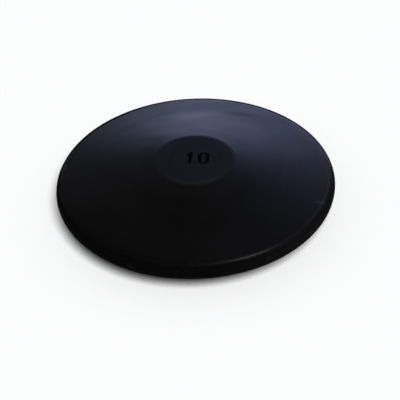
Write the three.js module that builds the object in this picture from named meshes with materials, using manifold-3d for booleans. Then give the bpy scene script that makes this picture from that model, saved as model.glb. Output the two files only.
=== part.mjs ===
// A 1 kg practice discus: two moulded rubber halves closed round a flat steel core.
// Millimetres, +Z up. The origin is the centre of the lower centre flat, which it rests on.
import * as THREE from 'three';
import { mergeVertices } from 'three/addons/utils/BufferGeometryUtils.js';
import Module from 'manifold-3d';

// Outside of the discus
const discDiameter = 180;
const discThickness = 38; // over the two centre flats
const rimThickness = 13; // the rim is a full round of this thickness
const flatDiameter = 48.4; // the level part of each centre flat
const flatEdgeWidth = 3.4; // radial width over which the flat rounds off into the cone
const partingChamfer = 0.3; // small edge break where the two halves meet

// Steel core
const coreDiameter = 105;
const coreThickness = 6;
const coreBoreDiameter = 20;
const coreEdgeChamfer = 1;
const keyHoleDiameter = 9;
const keyHoleChamfer = 0.6;

// Fit of the rubber on the steel
const mouldingClearance = 0.3; // radial, all round the core and in its holes
const cutOverrun = 1; // how far a cutter or a key runs past the face that it starts from
const weldDistance = 0.0001; // points closer than this are one point

// Counts
const keyCount = 8;
const roundSides = 96;
const holeSides = 24;
const rimArcSteps = 9;
const flatEdgeSteps = 6;

// Places that follow from the sizes
const discRadius = discDiameter / 2;
const halfThickness = discThickness / 2;
const rimRadius = rimThickness / 2;
const partingAngle = Math.asin(partingChamfer / rimRadius);
const rimCentreRadius = discRadius - rimRadius * Math.cos(partingAngle);
const flatRadius = flatDiameter / 2;
const coneTopRadius = flatRadius + flatEdgeWidth / 2; // where the cone's line comes up to the flat
const coreRadius = coreDiameter / 2;
const coreHalf = coreThickness / 2;
const coreBoreRadius = coreBoreDiameter / 2;
const keyHoleRadius = keyHoleDiameter / 2;
const keyCircleRadius = (coreBoreRadius + coreRadius) / 2; // midway across the core's ring

// Materials
const rubber = { color: 0x17181b, roughness: 0.5, metalness: 0 };
const steel = { color: 0x8b8e92, roughness: 0.45, metalness: 1 };

const wasm = await Module();
wasm.setup();

// Makes a solid for cutting and joining from a closed three.js geometry.
function toSolid(geometry) {
  geometry.deleteAttribute('normal');
  geometry.deleteAttribute('uv');
  const welded = mergeVertices(geometry, weldDistance);
  const corners = welded.index.array;
  const triangles = [];
  for (let i = 0; i < corners.length; i += 3) {
    const [a, b, c] = corners.slice(i, i + 3);
    if (a !== b && b !== c && c !== a) triangles.push(a, b, c);
  }
  return new wasm.Manifold(new wasm.Mesh({
    numProp: 3,
    vertProperties: welded.attributes.position.array,
    triVerts: Uint32Array.from(triangles),
  }));
}

// Turns a cut or joined solid back into a three.js geometry.
function toGeometry(solid) {
  const mesh = solid.getMesh();
  const geometry = new THREE.BufferGeometry();
  geometry.setAttribute('position', new THREE.BufferAttribute(mesh.vertProperties, 3));
  geometry.setIndex(new THREE.BufferAttribute(mesh.triVerts, 1));
  geometry.computeVertexNormals();
  return geometry;
}

// Revolves a profile of [radius, height] points, listed anticlockwise, about +Z.
function revolve(profile, sides) {
  const points = profile.map(([radius, height]) => new THREE.Vector2(radius, height));
  const geometry = new THREE.LatheGeometry(points, sides);
  geometry.rotateX(Math.PI / 2);
  return toSolid(geometry);
}

// The places of the keys and key holes, evenly round their circle.
function keyPlaces() {
  const places = [];
  for (let i = 0; i < keyCount; i += 1) {
    const angle = (i * 2 * Math.PI) / keyCount;
    places.push([keyCircleRadius * Math.cos(angle), keyCircleRadius * Math.sin(angle)]);
  }
  return places;
}

// The direction, seen from the rim's centre, in which the cone's line touches the rim's circle.
function rimTangentAngle() {
  const across = rimCentreRadius - coneTopRadius;
  const distance = Math.hypot(across, halfThickness);
  const toTop = Math.atan2(halfThickness, -across);
  return toTop - Math.acos(rimRadius / distance);
}

// The rim from the parting plane up to where the cone leaves it.
function rimArc() {
  const endAngle = rimTangentAngle();
  const points = [];
  for (let i = 0; i <= rimArcSteps; i += 1) {
    const angle = partingAngle + ((endAngle - partingAngle) * i) / rimArcSteps;
    points.push([rimCentreRadius + rimRadius * Math.cos(angle), rimRadius * Math.sin(angle)]);
  }
  return points;
}

// The flat's edge, from the cone up to the level part, in a curve that runs on from both.
function flatEdge() {
  const angle = rimTangentAngle();
  const slope = -Math.cos(angle) / Math.sin(angle);
  const points = [];
  for (let i = flatEdgeSteps; i >= 0; i -= 1) {
    const share = i / flatEdgeSteps;
    const fall = (slope * flatEdgeWidth * share * share) / 2;
    points.push([flatRadius + flatEdgeWidth * share, halfThickness + fall]);
  }
  return points;
}

// The pocket for one half of the core, with the stub that fills the core's bore.
function pocketProfile() {
  const stubRadius = coreBoreRadius - mouldingClearance;
  const wallRadius = coreRadius + mouldingClearance;
  return [
    [0, 0],
    [stubRadius, 0],
    [stubRadius, coreHalf - keyHoleChamfer],
    [stubRadius + keyHoleChamfer, coreHalf],
    [wallRadius - coreEdgeChamfer, coreHalf],
    [wallRadius, coreHalf - coreEdgeChamfer],
    [wallRadius, 0],
    [discRadius - partingChamfer, 0],
  ];
}

// One rubber key: it stands on the pocket's floor and ends level with the parting plane.
function rubberKey() {
  const radius = keyHoleRadius - mouldingClearance;
  return revolve([
    [0, 0],
    [radius, 0],
    [radius, coreHalf - keyHoleChamfer],
    [radius + keyHoleChamfer, coreHalf],
    [radius + keyHoleChamfer, coreHalf + cutOverrun],
    [0, coreHalf + cutOverrun],
  ], holeSides);
}

// One rubber half, made with the parting plane at zero and the outside up.
function rubberHalf() {
  const profile = [...pocketProfile(), ...rimArc(), ...flatEdge(), [0, halfThickness]];
  let half = revolve(profile, roundSides);
  for (const [x, y] of keyPlaces()) {
    half = half.add(rubberKey().translate([x, y, 0]));
  }
  return half;
}

// A cutter for a round hole through the core, with its edges broken on both faces.
function holeCutter(radius, sides) {
  const mouthRadius = radius + keyHoleChamfer;
  return revolve([
    [0, -coreHalf - cutOverrun],
    [mouthRadius + cutOverrun, -coreHalf - cutOverrun],
    [mouthRadius, -coreHalf],
    [radius, keyHoleChamfer - coreHalf],
    [radius, coreHalf - keyHoleChamfer],
    [mouthRadius, coreHalf],
    [mouthRadius + cutOverrun, coreHalf + cutOverrun],
    [0, coreHalf + cutOverrun],
  ], sides);
}

// The flat steel core with its bore and its ring of key holes, centred on the parting plane.
function steelCore() {
  let core = revolve([
    [0, -coreHalf],
    [coreRadius - coreEdgeChamfer, -coreHalf],
    [coreRadius, coreEdgeChamfer - coreHalf],
    [coreRadius, coreHalf - coreEdgeChamfer],
    [coreRadius - coreEdgeChamfer, coreHalf],
    [0, coreHalf],
  ], roundSides);
  core = core.subtract(holeCutter(coreBoreRadius, holeSides * 2));
  for (const [x, y] of keyPlaces()) {
    core = core.subtract(holeCutter(keyHoleRadius, holeSides).translate([x, y, 0]));
  }
  return core;
}

// Names a solid, gives it its material and adds it to the discus.
function addPiece(group, name, solid, finish) {
  const mesh = new THREE.Mesh(toGeometry(solid), new THREE.MeshStandardMaterial(finish));
  mesh.name = name;
  group.add(mesh);
  return mesh;
}

const discus = new THREE.Group();
discus.position.z = halfThickness;
addPiece(discus, 'rubber_upper_half', rubberHalf(), rubber);
const lowerHalf = addPiece(discus, 'rubber_lower_half', rubberHalf(), rubber);
lowerHalf.rotation.x = Math.PI;
addPiece(discus, 'steel_core', steelCore(), steel);

export default discus;
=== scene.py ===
import math

import bmesh
import bpy
from mathutils import Matrix, Vector, noise


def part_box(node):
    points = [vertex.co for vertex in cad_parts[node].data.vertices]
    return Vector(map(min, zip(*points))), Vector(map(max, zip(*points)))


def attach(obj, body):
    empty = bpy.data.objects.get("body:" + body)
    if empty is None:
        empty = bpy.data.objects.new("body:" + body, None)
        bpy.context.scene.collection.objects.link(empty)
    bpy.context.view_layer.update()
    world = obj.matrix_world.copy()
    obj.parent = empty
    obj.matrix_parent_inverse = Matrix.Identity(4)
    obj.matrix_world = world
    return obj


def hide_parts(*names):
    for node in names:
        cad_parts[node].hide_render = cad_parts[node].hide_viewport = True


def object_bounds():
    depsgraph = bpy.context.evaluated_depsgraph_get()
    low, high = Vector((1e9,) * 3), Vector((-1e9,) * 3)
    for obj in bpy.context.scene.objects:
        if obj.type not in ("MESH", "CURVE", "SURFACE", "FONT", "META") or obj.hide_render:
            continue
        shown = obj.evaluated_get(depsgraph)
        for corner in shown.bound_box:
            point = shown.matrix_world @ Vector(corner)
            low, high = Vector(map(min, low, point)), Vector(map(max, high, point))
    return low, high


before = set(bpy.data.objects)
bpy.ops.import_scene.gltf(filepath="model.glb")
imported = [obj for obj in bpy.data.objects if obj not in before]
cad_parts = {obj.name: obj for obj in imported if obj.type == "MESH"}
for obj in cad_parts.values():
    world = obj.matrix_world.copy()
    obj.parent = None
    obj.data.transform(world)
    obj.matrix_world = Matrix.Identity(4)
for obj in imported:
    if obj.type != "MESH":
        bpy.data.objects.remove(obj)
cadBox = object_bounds()
print("frame loaded:", sorted(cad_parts))

mm = 0.001


# Shader helpers

noiseMiddle = 0.5                        # what a noise texture gives on average


class Wire:
    # an output socket that can stand in a sum; each operator adds its Math node
    def __init__(self, shader, socket):
        self.shader = shader
        self.socket = socket

    def combine(self, operation, first, second):
        return self.shader.add("ShaderNodeMath", {"operation": operation}, {0: first, 1: second})

    def __add__(self, other):
        return self.combine("ADD", self, other)

    def __radd__(self, other):
        return self.combine("ADD", other, self)

    def __sub__(self, other):
        return self.combine("SUBTRACT", self, other)

    def __rsub__(self, other):
        return self.combine("SUBTRACT", other, self)

    def __mul__(self, other):
        return self.combine("MULTIPLY", self, other)

    def __pow__(self, other):
        return self.combine("POWER", self, other)


class Shader:
    # the node tree of one material or world
    def __init__(self, owner):
        owner.use_nodes = True
        self.nodes = owner.node_tree.nodes
        self.links = owner.node_tree.links
        self.nodes.clear()

    def add(self, kind, settings=None, inputs=None, output=0):
        # one node, with its settings and then its sockets' values or wires; gives back one output
        node = self.nodes.new(kind)
        for name, value in (settings or {}).items():
            setattr(node, name, value)
        for name, value in (inputs or {}).items():
            if isinstance(value, Wire):
                self.links.new(value.socket, node.inputs[name])
            else:
                node.inputs[name].default_value = value
        return Wire(self, node.outputs[output]) if len(node.outputs) else None

    def split(self, vector):
        # the three numbers of a vector
        node = self.nodes.new("ShaderNodeSeparateXYZ")
        self.links.new(vector.socket, node.inputs[0])
        return [Wire(self, output) for output in node.outputs]

    def join(self, x, y, z):
        return self.add("ShaderNodeCombineXYZ", None, {0: x, 1: y, 2: z})

    def smooth(self, value, start, end, low=0, high=1):
        # eases from low to high while value goes from start to end
        inputs = {"Value": value, "From Min": start, "From Max": end, "To Min": low, "To Max": high}
        return self.add("ShaderNodeMapRange", {"interpolation_type": "SMOOTHSTEP"}, inputs)

    def bell(self, value, middle, spread):
        # one at the middle, and fading evenly to both sides
        gap = (value - middle) * (1 / spread)
        return self.add("ShaderNodeMath", {"operation": "EXPONENT"}, {0: gap * gap * -0.5})

    def noise(self, place, scale, detail):
        return self.add("ShaderNodeTexNoise", None, {"Vector": place, "Scale": scale, "Detail": detail})

    def mixColor(self, factor, first, second):
        # 6, 7 and 2 are the colour sockets of the Mix node
        inputs = {"Factor": factor, 6: first, 7: second}
        return self.add("ShaderNodeMix", {"data_type": "RGBA"}, inputs, 2)


# Camera, fitted to the outline of the disc

cameraPlace = {
    "elevation": math.radians(38.18),
    "roll": math.radians(2.79),          # the right side stands higher in the picture
    "distance": 986 * mm,                # from the middle of the disc
    "scale": 1546.8,                     # pixels a metre at that distance
    "discPixel": (195.47, 182.82),       # where the middle of the disc lies in the picture
    "pictureSize": 400,
    "sensor": 36,
    "farClip": 50,
}


def makeCamera(place, target):
    data = bpy.data.cameras.new("camera")
    size = place["pictureSize"]
    data.sensor_width = place["sensor"]
    data.lens = place["scale"] * place["distance"] / size * place["sensor"]
    data.shift_x = (size / 2 - place["discPixel"][0]) / size
    data.shift_y = (place["discPixel"][1] - size / 2) / size
    data.clip_end = place["farClip"]
    camera = bpy.data.objects.new("camera", data)
    bpy.context.scene.collection.objects.link(camera)
    back = Vector((0, -math.cos(place["elevation"]), math.sin(place["elevation"])))
    turn = (-back).to_track_quat("-Z", "Y").to_matrix()
    roll = Matrix.Rotation(-place["roll"], 3, "Z")
    camera.matrix_world = Matrix.Translation(target + back * place["distance"]) @ (turn @ roll).to_4x4()
    bpy.context.scene.camera = camera


boxLow, boxHigh = cadBox
discMiddle = (boxLow + boxHigh) / 2
makeCamera(cameraPlace, discMiddle)
print("camera made")


# Outside of one rubber half: the outline of the frame's half, in finer steps and slightly wavy

body = {
    "radius": (boxHigh.x - boxLow.x) / 2,
    "halfThickness": (boxHigh.z - boxLow.z) / 2,
    "rimRadius": 6.5 * mm,
    "flatRadius": 24.2 * mm,
    "flatEdgeWidth": 3.4 * mm,           # where the flat rounds off into the cone
    "partingChamfer": 0.3 * mm,
    "swell": 0.15 * mm,                  # how far the taper bulges and hollows
    "waveHeight": 0.05 * mm,             # uneven waves over the taper
    "waveLength": 24 * mm,
    "turnSteps": 256,
    "rimSteps": 22,
    "coneSteps": 36,
    "edgeSteps": 18,
    "mergeDistance": 0.001 * mm,
    "sharpAngle": math.radians(35),      # faces that meet at more than this keep a sharp edge
}


def rimTangent(size):
    # centre of the rim's round, the angle of its parting edge, and the angle at which the cone leaves it
    parting = math.asin(size["partingChamfer"] / size["rimRadius"])
    centre = size["radius"] - size["rimRadius"] * math.cos(parting)
    across = centre - size["flatRadius"] - size["flatEdgeWidth"] / 2
    height = size["halfThickness"]
    angle = math.atan2(height, -across) - math.acos(size["rimRadius"] / math.hypot(across, height))
    return centre, parting, angle


def outerProfile(size):
    # from the parting line over the rim, the cone and the flat's edge to the flat
    centre, parting, angle = rimTangent(size)
    slope = -math.cos(angle) / math.sin(angle)
    footRadius = size["flatRadius"] + size["flatEdgeWidth"]
    footHeight = size["halfThickness"] + slope * size["flatEdgeWidth"] / 2
    points = []
    for i in range(size["rimSteps"] + 1):
        turn = parting + (angle - parting) * i / size["rimSteps"]
        points.append((centre + size["rimRadius"] * math.cos(turn), size["rimRadius"] * math.sin(turn)))
    startRadius = points[-1][0]
    for i in range(1, size["coneSteps"]):
        share = i / size["coneSteps"]
        radius = startRadius + (footRadius - startRadius) * share
        swell = -size["swell"] * math.sin(2 * math.pi * share)
        points.append((radius, footHeight + slope * (radius - footRadius) + swell))
    for i in range(size["edgeSteps"] + 1):
        share = 1 - i / size["edgeSteps"]
        fall = slope * size["flatEdgeWidth"] * share * share / 2
        points.append((size["flatRadius"] + size["flatEdgeWidth"] * share, size["halfThickness"] + fall))
    return points


def makeWaves(bm, size):
    # lifts and sinks the taper a little, and leaves the flat, its edge and the rim as they are
    low = size["flatRadius"] + size["flatEdgeWidth"]
    high = size["radius"] - 2 * size["rimRadius"]
    for vert in bm.verts:
        radius = vert.co.xy.length
        if low < radius < high and vert.co.z > size["rimRadius"]:
            share = (radius - low) / (high - low)
            wave = noise.noise(vert.co / size["waveLength"])
            vert.co.z += size["waveHeight"] * wave * math.sin(math.pi * share)


# Pocket for the steel core, with the stub in its bore and the keys through its holes

pocket = {
    "clearance": 0.3 * mm,
    "edgeChamfer": 1 * mm,
    "boreRadius": 10 * mm,
    "keyHoleRadius": 4.5 * mm,
    "footChamfer": 0.6 * mm,             # where the stub and the keys stand on the pocket's floor
    "keyCount": 8,
    "keySteps": 32,
    "floorTolerance": 0.01 * mm,
}
coreLow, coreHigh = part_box("steel_core")
coreRadius = (coreHigh.x - coreLow.x) / 2
pocketDepth = (coreHigh.z - coreLow.z) / 2


def pocketProfiles(size, outside):
    # the stub from the axis to its foot, and the pocket's wall from the floor to the parting line
    stub = size["boreRadius"] - size["clearance"]
    wall = coreRadius + size["clearance"]
    stubLine = [
        (0, 0),
        (stub, 0),
        (stub, pocketDepth - size["footChamfer"]),
        (stub + size["footChamfer"], pocketDepth),
    ]
    wallLine = [
        (wall - size["edgeChamfer"], pocketDepth),
        (wall, pocketDepth - size["edgeChamfer"]),
        (wall, 0),
        (outside["radius"] - outside["partingChamfer"], 0),
    ]
    return stubLine, wallLine


def edgesOf(verts):
    # the edges at these points, each once and in the order of the points
    return list(dict.fromkeys(e for v in verts for e in v.link_edges))


def addKey(bm, size, place):
    # one key, from its foot on the pocket's floor to its end at the parting plane
    radius = size["keyHoleRadius"] - size["clearance"]
    footRadius = radius + size["footChamfer"]
    foot = bmesh.ops.create_circle(
        bm, segments=size["keySteps"], radius=footRadius,
        matrix=Matrix.Translation((*place, pocketDepth)))["verts"]
    footEdges = edgesOf(foot)
    edges = footEdges
    toAxis = Matrix.Translation((-place[0], -place[1], 0))
    for scale, height in ((radius / footRadius, pocketDepth - size["footChamfer"]), (1, 0)):
        grown = bmesh.ops.extrude_edge_only(bm, edges=edges)["geom"]
        verts = [g for g in grown if isinstance(g, bmesh.types.BMVert)]
        edges = [g for g in grown if isinstance(g, bmesh.types.BMEdge)]
        bmesh.ops.scale(bm, verts=verts, vec=(scale, scale, 1), space=toAxis)
        for vert in verts:
            vert.co.z = height
    bmesh.ops.triangle_fill(bm, edges=edges, use_beauty=True)
    return footEdges


def closePocket(bm, size):
    # fills the pocket's floor round the stub and the keys, which stand halfway between bore and edge
    onFloor = [e for e in bm.edges if e.is_boundary and all(
        abs(v.co.z - pocketDepth) < size["floorTolerance"] and v.co.xy.length < coreRadius for v in e.verts)]
    circleRadius = (size["boreRadius"] + coreRadius) / 2
    for i in range(size["keyCount"]):
        turn = 2 * math.pi * i / size["keyCount"]
        onFloor += addKey(bm, size, (circleRadius * math.cos(turn), circleRadius * math.sin(turn)))
    bmesh.ops.triangle_fill(bm, edges=onFloor, use_beauty=True)


# Weight figure, pressed into the upper flat: a one, a point and a nought

mark = {
    "middle": (2 * mm, 1.4 * mm),
    "turn": math.radians(-7),
    "height": 12 * mm,
    "stroke": 1.7 * mm,
    "depth": 1 * mm,
    "wall": 0.3 * mm,                    # width of the sloping wall at the edge of a stroke
    "field": (9.5 * mm, 7.5 * mm),       # half the sides of the finely meshed field that holds it
    "gridStep": 0.2 * mm,
    "oneX": -4.6 * mm,
    "flag": 2.3 * mm,
    "pointX": -1.2 * mm,
    "noughtX": 3.9 * mm,
    "noughtHalfWidth": 2.5 * mm,
}


def strokeDistance(point, start, end):
    # distance from a point to a straight stroke's middle line
    along = end - start
    share = max(0, min(1, (point - start).dot(along) / along.length_squared))
    return (point - start - along * share).length


def ovalDistance(point, middle, halfWidth, halfHeight):
    # distance from a point to the middle line of a tall oval with straight sides
    offset = point - middle
    straight = halfHeight - halfWidth
    nearest = Vector((0, max(-straight, min(straight, offset.y))))
    return abs((offset - nearest).length - halfWidth)


def markDistance(point):
    # distance from a point to the nearest middle line of the figure
    half = (mark["height"] - mark["stroke"]) / 2
    one = Vector((mark["oneX"], 0))
    top = one + Vector((0, half))
    flag = top - Vector((mark["flag"], mark["flag"]))
    dot = Vector((mark["pointX"], -half))
    nought = Vector((mark["noughtX"], 0))
    return min(
        strokeDistance(point, one - Vector((0, half)), top),
        strokeDistance(point, top, flag),
        (point - dot).length,
        ovalDistance(point, nought, mark["noughtHalfWidth"], half),
    )


def pressMark(verts, height):
    # sinks the grid's points that lie on the figure
    turn = Matrix.Rotation(-mark["turn"], 2)
    for vert in verts:
        local = turn @ (vert.co.xy - Vector(mark["middle"]))
        gap = (markDistance(local) - mark["stroke"] / 2) / mark["wall"]
        share = max(0, min(1, 0.5 - gap / 2))
        vert.co.z = height - mark["depth"] * share * share * (3 - 2 * share)


def closeFlat(bm, size, marked):
    # closes the flat: plain on the lower half, round a fine grid with the figure on the upper one
    rimEdges = [e for e in bm.edges if e.is_boundary]
    if not marked:
        bmesh.ops.triangle_fill(bm, edges=rimEdges, use_beauty=True)
        return
    place = Matrix.Translation((*mark["middle"], size["halfThickness"]))
    turn = Matrix.Rotation(mark["turn"], 4, "Z")
    stretch = Matrix.Diagonal((*mark["field"], 1, 1))
    counts = [round(2 * side / mark["gridStep"]) for side in mark["field"]]
    grid = bmesh.ops.create_grid(
        bm, x_segments=counts[0], y_segments=counts[1], size=1, matrix=place @ turn @ stretch)["verts"]
    border = [e for e in edgesOf(grid) if e.is_boundary]
    bmesh.ops.triangle_fill(bm, edges=rimEdges + border, use_beauty=True)
    pressMark(grid, size["halfThickness"])


def makeHalf(size, marked):
    # one rubber half with the parting plane at zero and the outside up
    bm = bmesh.new()
    stubLine, wallLine = pocketProfiles(pocket, size)
    for line in (stubLine, wallLine + outerProfile(size)):
        verts = [bm.verts.new((radius, 0, height)) for radius, height in line]
        edges = [bm.edges.new(pair) for pair in zip(verts, verts[1:])]
        bmesh.ops.spin(
            bm, geom=verts + edges, cent=(0, 0, 0), axis=(0, 0, 1), angle=2 * math.pi,
            steps=size["turnSteps"], use_merge=True)
    bmesh.ops.remove_doubles(bm, verts=bm.verts, dist=size["mergeDistance"])
    closePocket(bm, pocket)
    closeFlat(bm, size, marked)
    bmesh.ops.remove_doubles(bm, verts=bm.verts, dist=size["mergeDistance"])
    bmesh.ops.recalc_face_normals(bm, faces=bm.faces)
    makeWaves(bm, size)
    for edge in bm.edges:
        edge.smooth = edge.calc_face_angle(0) < size["sharpAngle"]
    for face in bm.faces:
        face.smooth = True
    return bm


def finishPiece(name, bm, material):
    mesh = bpy.data.meshes.new(name)
    bm.to_mesh(mesh)
    bm.free()
    mesh.materials.append(material)
    piece = bpy.data.objects.new(name, mesh)
    bpy.context.scene.collection.objects.link(piece)
    return piece


# Rubber: black and softly glossy on the taper and the flats, dull round the rim
# A Ring or a Band is the middle and the spread of a bell; other pairs are where a thing starts and is full
# Side is measured across the disc, Away from the near side to the far one, Slant on the diagonal

rubberLook = {
    "black": (0.0014, 0.0014, 0.0014, 1),
    "roughness": 0.32,
    "specular": 0.42,
    "upperBlend": 1 * mm,                # above the parting plane, where the upper side's marks set in
    "cloudNoise": (34, 5),               # scale and detail, as for the other noises
    "cloudRoughness": 0.08,
    "cloudCover": (0.4, 0.62),
    "cloudDull": 0.1,
    "bloom": (0.0026, 0.0026, 0.0028, 1),  # thin grey film that old rubber grows
    "bloomCover": (0.35, 0.7),
    "grainNoise": (1800, 2),
    "grainBump": 0.05,
    "grainDepth": 0.2 * mm,
    "dragStretch": (95, 15),             # rubbing marks: close across the rings, long round them
    "dragNoise": (1, 4),
    "dragRoughness": 0.1,
    "dragCover": (0.5, 0.75),
    "dragDull": 0.1,
    "smearCover": (0.1, 0.75),
    "smearCoat": 0.55,                   # smears shine more than the rubber round them
    "smearCoatRoughness": 0.3,
    "nick": (0.045, 0.048, 0.056, 1),
    "flatRadius": (27 * mm, 24.5 * mm),
    "flatFilm": (0.0155, 0.0185, 0.004, 1),  # greenish film on the flats
    "flatFilmShare": 0.085,
    "flatDull": 0.2,
    "filmAndSheen": (0.0165, 0.0165, 0.016, 1),  # grey film on the taper's foot and its left, and painted sheen on the right shoulder, paler where light from the upper right would fall
    "filmAndSheenShare": 0.1,
    "footRing": (30 * mm, 4 * mm),
    "filmSide": (-8 * mm, -40 * mm),
    "filmAway": (-50 * mm, -15 * mm),
    "sheenShoulderRing": (86 * mm, 1.4 * mm),
    "sheenShoulderSide": (10 * mm, 40 * mm),
    "paintedEdgeHighlight": (0.03, 0.03, 0.031, 1),      # painted highlight: the front of the flat's rounded edge made paler where light from above would catch it
    "paintedEdgeHighlightRing": (24.4 * mm, 1.3 * mm),
    "paintedEdgeHighlightCover": (0.2, 0.5),
    "paintedEdgeHighlightAway": (-15 * mm, -23 * mm),
    "paintedEdgeHighlightShare": (0.02, 0.34),           # from the far side of the edge to its front
    "chip": (0.06, 0.06, 0.064, 1),      # small pale knocks on the shoulder, left and right
    "chipRing": (85.4 * mm, 0.36 * mm),
    "chipCover": (0.5, 0.6),
    "chipAwayBand": (38 * mm, 18 * mm),
    "handledRadius": (39 * mm, 27 * mm),  # grip marks that take the gloss down round the flat
    "handledDull": 0.13,
    "polishedRadius": (82 * mm, 85 * mm),  # the shoulder above the rim, rubbed smooth
    "polishedGain": 0.05,
    "dull": (0.0017, 0.0017, 0.0019, 1),
    "dullRoughness": 0.75,
    "dullSpecular": 0.008,
    "mattCover": (0.7, 1),               # where the gloss is all but gone, its own roughness rises too
    "rimRadius": (87.1 * mm, 88.3 * mm),  # where the dull rim starts
    "rimUnevenness": 0.8 * mm,
    "rimSpreadFar": 3.2 * mm,            # it reaches further in on the far side
    "rimSpreadFarAway": (5 * mm, 78 * mm),
    "rimSpreadLeft": 0.6 * mm,           # and a little further in on the left
    "rimSpreadLeftSlant": (62 * mm, 90 * mm),
    "rimSpreadLeftAway": (82 * mm, 62 * mm),
    "rimSpreadNear": 0.85 * mm,          # and on the near left
    "rimSpreadNearSlant": (-98 * mm, -122 * mm),
    "paintedRimSheen": (0.0044, 0.0044, 0.0047, 1),  # painted sheen: the dull rim is a little lighter on the right, where the side light would catch it
    "paintedRimSheenSide": (0, 80 * mm),
    "scuff": (0.012, 0.012, 0.0125, 1),  # pale grazes round the rim, in patches
    "scuffCover": (0.55, 0.75),
    "scrapeNoise": (260, 3),
    "scrapeSqueeze": 2,                  # in height, so that they lie along the rim
    "patchNoise": (120, 2),
    "graze": (0.022, 0.022, 0.023, 1),   # small grazes on the right, just above the parting line
    "grazeHeightBand": (1.3 * mm, 0.35 * mm),
    "grazeCover": (0.57, 0.68),
    "grazeSide": (35 * mm, 50 * mm),
    "figureDepth": (0.08 * mm, 0.4 * mm),
    "figureReach": (15 * mm, 14 * mm),
    "figureDull": 0.8,
}

# smears on the upper taper that shine more: middle, half length and half width in mm, turn in degrees
smears = [
    {"middle": (2, 59), "turn": 2, "length": 12, "width": 2.8, "strength": 1},
    {"middle": (-8, 55), "turn": -14, "length": 7, "width": 2.2, "strength": 0.6},
    {"middle": (-6, 52), "turn": 8, "length": 20, "width": 6, "strength": 0.38},
    {"middle": (-27, 46), "turn": 40, "length": 20, "width": 14, "strength": 0.35},
    {"middle": (14, 37), "turn": -25, "length": 12, "width": 6, "strength": 0.55},
    {"middle": (-17, 34), "turn": -8, "length": 10, "width": 3.5, "strength": 0.5},
    {"middle": (23, 47), "turn": -25, "length": 8, "width": 4, "strength": 0.35},
    {"middle": (-20, 76), "turn": 10, "length": 14, "width": 3, "strength": 0.35},
    {"middle": (66, 14), "turn": 8, "length": 11, "width": 5, "strength": 0.65},
]

# streaks there that shine less
dullStreaks = [
    {"middle": (31, 60), "turn": -10, "length": 7, "width": 2, "strength": 0.3},
    {"middle": (43, 53), "turn": -38, "length": 13, "width": 7, "strength": 0.2},
    {"middle": (-29, 14.5), "turn": -21, "length": 6, "width": 1.7, "strength": 0.2},
    {"middle": (-26, 27.5), "turn": -15, "length": 6, "width": 3, "strength": 0.16},
    {"middle": (-38, 52), "turn": 30, "length": 12, "width": 3, "strength": 0.16},
    {"middle": (12, 74), "turn": 0, "length": 18, "width": 3, "strength": 0.12},
    {"middle": (29, 23), "turn": 128, "length": 12, "width": 7, "strength": 0.09},
]

# a small pale nick on the near right
nick = {"middle": (77.5, -34), "turn": 8, "length": 2.5, "width": 0.8, "strength": 0.25}


class RubberPoint:
    # what the rubber's looks go by at each point: its place, how far out it lies, noises and masks
    def __init__(self, shader, look):
        place = shader.add("ShaderNodeTexCoord", output="Object")
        self.x, self.y, self.z = shader.split(place)
        self.radius = (self.x * self.x + self.y * self.y) ** 0.5
        self.cloud = shader.noise(place, *look["cloudNoise"])
        self.grain = shader.noise(place, *look["grainNoise"])
        self.patch = shader.noise(place, *look["patchNoise"])
        squeezed = shader.join(self.x, self.y, self.z * look["scrapeSqueeze"])
        self.scrape = shader.noise(squeezed, *look["scrapeNoise"])
        across, along = look["dragStretch"]
        stretched = shader.join(self.radius * across, self.x * along, self.y * along)
        self.drag = shader.noise(stretched, *look["dragNoise"])
        self.upper = shader.smooth(self.z, discMiddle.z, discMiddle.z + look["upperBlend"])
        self.flat = shader.smooth(self.radius, *look["flatRadius"])
        self.rim = rimMask(shader, look, self)
        self.figure = figureMask(shader, look, self)


def rimMask(shader, look, at):
    # the dull rim, with an uneven boundary
    far = shader.smooth(at.y, *look["rimSpreadFarAway"]) * look["rimSpreadFar"]
    left = shader.smooth(at.y - at.x, *look["rimSpreadLeftSlant"])
    left = left * shader.smooth(at.y, *look["rimSpreadLeftAway"]) * look["rimSpreadLeft"]
    near = shader.smooth(at.x + at.y, *look["rimSpreadNearSlant"]) * look["rimSpreadNear"]
    uneven = (at.cloud - noiseMiddle) * look["rimUnevenness"]
    return shader.smooth(at.radius + (far + left + near) + uneven, *look["rimRadius"])


def figureMask(shader, look, at):
    # the sunken strokes of the figure
    sunken = shader.smooth(boxHigh.z - at.z, *look["figureDepth"])
    return sunken * shader.smooth(at.radius, *look["figureReach"]) * at.upper


def streakMask(shader, at, streak):
    turn = math.radians(streak["turn"])
    across = at.x - streak["middle"][0] * mm
    away = at.y - streak["middle"][1] * mm
    along = across * math.cos(turn) + away * math.sin(turn)
    aside = away * math.cos(turn) - across * math.sin(turn)
    shape = shader.bell(along, 0, streak["length"] * mm) * shader.bell(aside, 0, streak["width"] * mm)
    return shape * streak["strength"]


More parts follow.
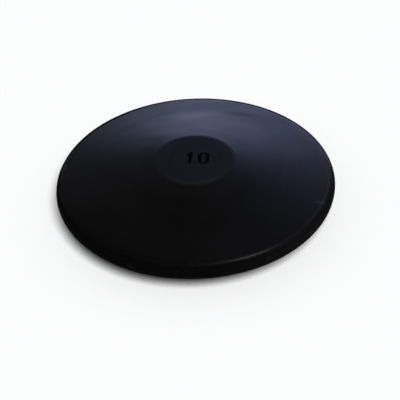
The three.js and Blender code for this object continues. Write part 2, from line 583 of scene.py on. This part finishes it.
def glossColor(shader, look, at):
    # each film, mark, painted highlight or painted sheen lies over the ones before it
    color = shader.mixColor(shader.smooth(at.cloud, *look["bloomCover"]), look["black"], look["bloom"])
    color = shader.mixColor(streakMask(shader, at, nick) * at.upper, color, look["nick"])
    color = shader.mixColor(at.flat * look["flatFilmShare"], color, look["flatFilm"])
    left = shader.smooth(at.x, *look["filmSide"]) * shader.smooth(at.y, *look["filmAway"])
    # the right shoulder's part is painted sheen from the light on the upper right
    shoulderSheen = shader.bell(at.radius, *look["sheenShoulderRing"]) * shader.smooth(at.x, *look["sheenShoulderSide"])
    filmAndSheen = (shader.bell(at.radius, *look["footRing"]) + left + shoulderSheen) * look["filmAndSheenShare"]
    color = shader.mixColor(filmAndSheen, color, look["filmAndSheen"])
    # painted highlight on the front of the flat's edge, broken up by noise
    paintedEdgeHighlight = shader.bell(at.radius, *look["paintedEdgeHighlightRing"]) * shader.smooth(at.cloud, *look["paintedEdgeHighlightCover"])
    paintedEdgeHighlight = paintedEdgeHighlight * shader.smooth(at.y, *look["paintedEdgeHighlightAway"], *look["paintedEdgeHighlightShare"])
    color = shader.mixColor(paintedEdgeHighlight, color, look["paintedEdgeHighlight"])
    chips = shader.bell(at.radius, *look["chipRing"]) * shader.smooth(at.scrape, *look["chipCover"])
    chips = chips * shader.bell(at.y, *look["chipAwayBand"]) * at.upper
    return shader.mixColor(chips, color, look["chip"])


def glossRubber(shader, look, at, bump):
    clouded = (at.cloud - noiseMiddle) * look["cloudRoughness"]
    dragged = (at.drag - noiseMiddle) * look["dragRoughness"]
    polished = shader.smooth(at.radius, *look["polishedRadius"]) * look["polishedGain"]
    matt = shader.smooth(at.rim + at.figure, *look["mattCover"])
    matt = matt * (look["dullRoughness"] - look["roughness"])
    smear = sum((streakMask(shader, at, streak) for streak in smears), 0)
    smear = smear * at.upper * shader.smooth(at.drag, *look["smearCover"])
    return shader.add("ShaderNodeBsdfPrincipled", None, {
        "Base Color": glossColor(shader, look, at),
        "Roughness": look["roughness"] + clouded + dragged - polished + matt,
        "Normal": bump,
        "Specular IOR Level": look["specular"],
        "Coat Weight": smear * look["smearCoat"],
        "Coat Roughness": look["smearCoatRoughness"],
    })


def dullRubber(shader, look, at, bump):
    # painted sheen, lighter towards the right of the rim
    color = shader.mixColor(shader.smooth(at.x, *look["paintedRimSheenSide"]), look["dull"], look["paintedRimSheen"])
    scuffed = shader.smooth(at.scrape, *look["scuffCover"]) * shader.smooth(at.patch, *look["scuffCover"])
    color = shader.mixColor(scuffed, color, look["scuff"])
    height, spread = look["grazeHeightBand"]
    grazed = shader.bell(at.z, discMiddle.z + height, spread)
    grazed = grazed * shader.smooth(at.scrape, *look["grazeCover"]) * shader.smooth(at.x, *look["grazeSide"])
    return shader.add("ShaderNodeBsdfPrincipled", None, {
        "Base Color": shader.mixColor(grazed, color, look["graze"]),
        "Roughness": look["dullRoughness"],
        "Normal": bump,
        "Specular IOR Level": look["dullSpecular"],
    })


def dullShare(shader, look, at):
    # how much of the gloss is gone
    handled = shader.smooth(at.radius, *look["handledRadius"]) * look["handledDull"]
    streaks = sum((streakMask(shader, at, streak) for streak in dullStreaks), 0)
    streaks = streaks + at.figure * look["figureDull"]
    rubbed = shader.smooth(at.drag, *look["dragCover"]) * look["dragDull"]
    clouded = shader.smooth(at.cloud, *look["cloudCover"]) * look["cloudDull"]
    return at.rim + handled + at.flat * look["flatDull"] + streaks * at.upper + rubbed + clouded


def makeRubber(look):
    material = bpy.data.materials.new("moulded_rubber")
    shader = Shader(material)
    at = RubberPoint(shader, look)
    bump = shader.add("ShaderNodeBump", None, {
        "Height": at.grain, "Strength": look["grainBump"], "Distance": look["grainDepth"]})
    gloss = glossRubber(shader, look, at, bump)
    dull = dullRubber(shader, look, at, bump)
    mixed = shader.add("ShaderNodeMixShader", None, {0: dullShare(shader, look, at), 1: gloss, 2: dull})
    shader.add("ShaderNodeOutputMaterial", None, {"Surface": mixed})
    return material


# Steel of the core: mottled and half dull

steelLook = {
    "dark": (0.42, 0.43, 0.45, 1),
    "pale": (0.56, 0.57, 0.6, 1),
    "mottleNoise": (60, 6),
    "roughness": 0.3,
    "mottleRoughness": 0.25,
}


def makeSteel(look):
    material = bpy.data.materials.new("core_steel")
    shader = Shader(material)
    place = shader.add("ShaderNodeTexCoord", output="Object")
    mottle = shader.noise(place, *look["mottleNoise"])
    steel = shader.add("ShaderNodeBsdfPrincipled", None, {
        "Base Color": shader.mixColor(mottle, look["dark"], look["pale"]),
        "Metallic": 1,
        "Roughness": look["roughness"] + mottle * look["mottleRoughness"],
    })
    shader.add("ShaderNodeOutputMaterial", None, {"Surface": steel})
    return material


rubber = makeRubber(rubberLook)
steel = makeSteel(steelLook)
print("rubber and steel made")


# The two halves and the core

upperMesh = makeHalf(body, True)
bmesh.ops.translate(upperMesh, verts=upperMesh.verts, vec=(0, 0, discMiddle.z))
upper = finishPiece("rubber_body_upper", upperMesh, rubber)

lowerMesh = makeHalf(body, False)
bmesh.ops.rotate(lowerMesh, verts=lowerMesh.verts, cent=(0, 0, 0), matrix=Matrix.Rotation(math.pi, 3, "X"))
bmesh.ops.translate(lowerMesh, verts=lowerMesh.verts, vec=(0, 0, discMiddle.z))
lower = finishPiece("rubber_body_lower", lowerMesh, rubber)

for piece, node in ((upper, "rubber_upper_half"), (lower, "rubber_lower_half")):
    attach(piece, "root")
    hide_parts(node)

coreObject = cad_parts["steel_core"]
coreObject.data.materials.clear()
coreObject.data.materials.append(steel)
print("rubber halves made:", len(upper.data.vertices), "and", len(lower.data.vertices), "points")


# Floor, light and surroundings

stage = {
    "floorRadius": 12,
    "floorSides": 128,
    "floorColor": (0.973, 0.977, 0.985, 1),
    "floorRoughness": 0.9,
    "sunPower": 3.25,
    "sunElevation": math.radians(51),
    "sunAzimuth": math.radians(-77),     # from +X towards +Y, so it stands on the camera's side
    "sunAngle": math.radians(23),
}

# places in the sky are parts of a direction one long: X to the right, Y to the far side and Z up
# a From pair is where a light starts and is full, and the others are the middle and the spread of a bell
sky = {
    "paper": stage["floorColor"],        # what the camera sees past the floor
    "forMatt": (0.2, 0.2, 0.2, 1),       # light that the floor and the dull rubber get
    "dark": (0.034, 0.03, 0.028, 1),
    "window": (0.97, 1.18, 2.0, 1),      # pale blue light behind the disc, low down
    "windowX": (0.15, 0.16),
    "windowFromY": (0, 0.3),
    "windowZ": (0.29, 0.152),
    "windowLean": 0.5,                   # how far it leans to the right as it rises
    "windowLeanZ": 0.4,                  # the height at which its middle is as given
    "nearShare": 0.6,                    # the same light, weaker, all round the near side
    "nearFromY": (0.2, -0.2),
    "glow": (0.39, 0.42, 0.71, 1),       # faint light higher up on the right
    "glowX": (0.52, 0.08),
    "glowFromY": (-0.4, 0),
    "glowZ": (0.52, 0.17),
    "lamp": (7, 7, 7.2, 1),              # small lamp above, a little to the right
    "lampX": (0.34, 0.05),
    "lampY": (-0.12, 0.05),
    "lampFromZ": (0, 0.5),
}


def makeFloor(look):
    bm = bmesh.new()
    bmesh.ops.create_circle(bm, cap_ends=True, segments=look["floorSides"], radius=look["floorRadius"])
    material = bpy.data.materials.new("floor_paper")
    shader = Shader(material)
    paper = shader.add("ShaderNodeBsdfPrincipled", None, {
        "Base Color": look["floorColor"], "Roughness": look["floorRoughness"], "Specular IOR Level": 0})
    shader.add("ShaderNodeOutputMaterial", None, {"Surface": paper})
    floor = finishPiece("floor", bm, material)


def makeSun(look):
    data = bpy.data.lights.new("key_light", "SUN")
    data.energy = look["sunPower"]
    data.angle = look["sunAngle"]
    sun = bpy.data.objects.new("key_light", data)
    bpy.context.scene.collection.objects.link(sun)
    level = math.cos(look["sunElevation"])
    toward = Vector((level * math.cos(look["sunAzimuth"]), level * math.sin(look["sunAzimuth"]),
                     math.sin(look["sunElevation"])))
    sun.rotation_euler = toward.to_track_quat("Z", "Y").to_euler()
    sun.visible_glossy = False


def makeSky(look):
    world = bpy.data.worlds.new("surroundings")
    bpy.context.scene.world = world
    shader = Shader(world)
    x, y, z = shader.split(shader.add("ShaderNodeTexCoord", output="Generated"))
    lean = (z - look["windowLeanZ"]) * look["windowLean"]
    behind = shader.bell(x - lean, *look["windowX"]) * shader.smooth(y, *look["windowFromY"])
    near = shader.smooth(y, *look["nearFromY"]) * look["nearShare"]
    window = (behind + near) * shader.bell(z, *look["windowZ"])
    glow = shader.bell(x, *look["glowX"]) * shader.bell(z, *look["glowZ"])
    glow = glow * shader.smooth(y, *look["glowFromY"])
    lamp = shader.bell(x, *look["lampX"]) * shader.bell(y, *look["lampY"])
    lamp = lamp * shader.smooth(z, *look["lampFromZ"])
    seen = look["dark"]
    for mask, light in ((window, "window"), (glow, "glow"), (lamp, "lamp")):
        seen = shader.mixColor(mask, seen, look[light])
    isCamera, isGlossy, isGlass = (
        shader.add("ShaderNodeLightPath", output=name)
        for name in ("Is Camera Ray", "Is Glossy Ray", "Is Transmission Ray"))
    color = shader.mixColor(isGlossy + isGlass, look["forMatt"], seen)
    color = shader.mixColor(isCamera, color, look["paper"])
    background = shader.add("ShaderNodeBackground", None, {"Color": color})
    shader.add("ShaderNodeOutputWorld", None, {"Surface": background})


makeFloor(stage)
makeSun(stage)
makeSky(sky)
bpy.context.scene.view_settings.view_transform = "Standard"
print("floor, light and surroundings made")
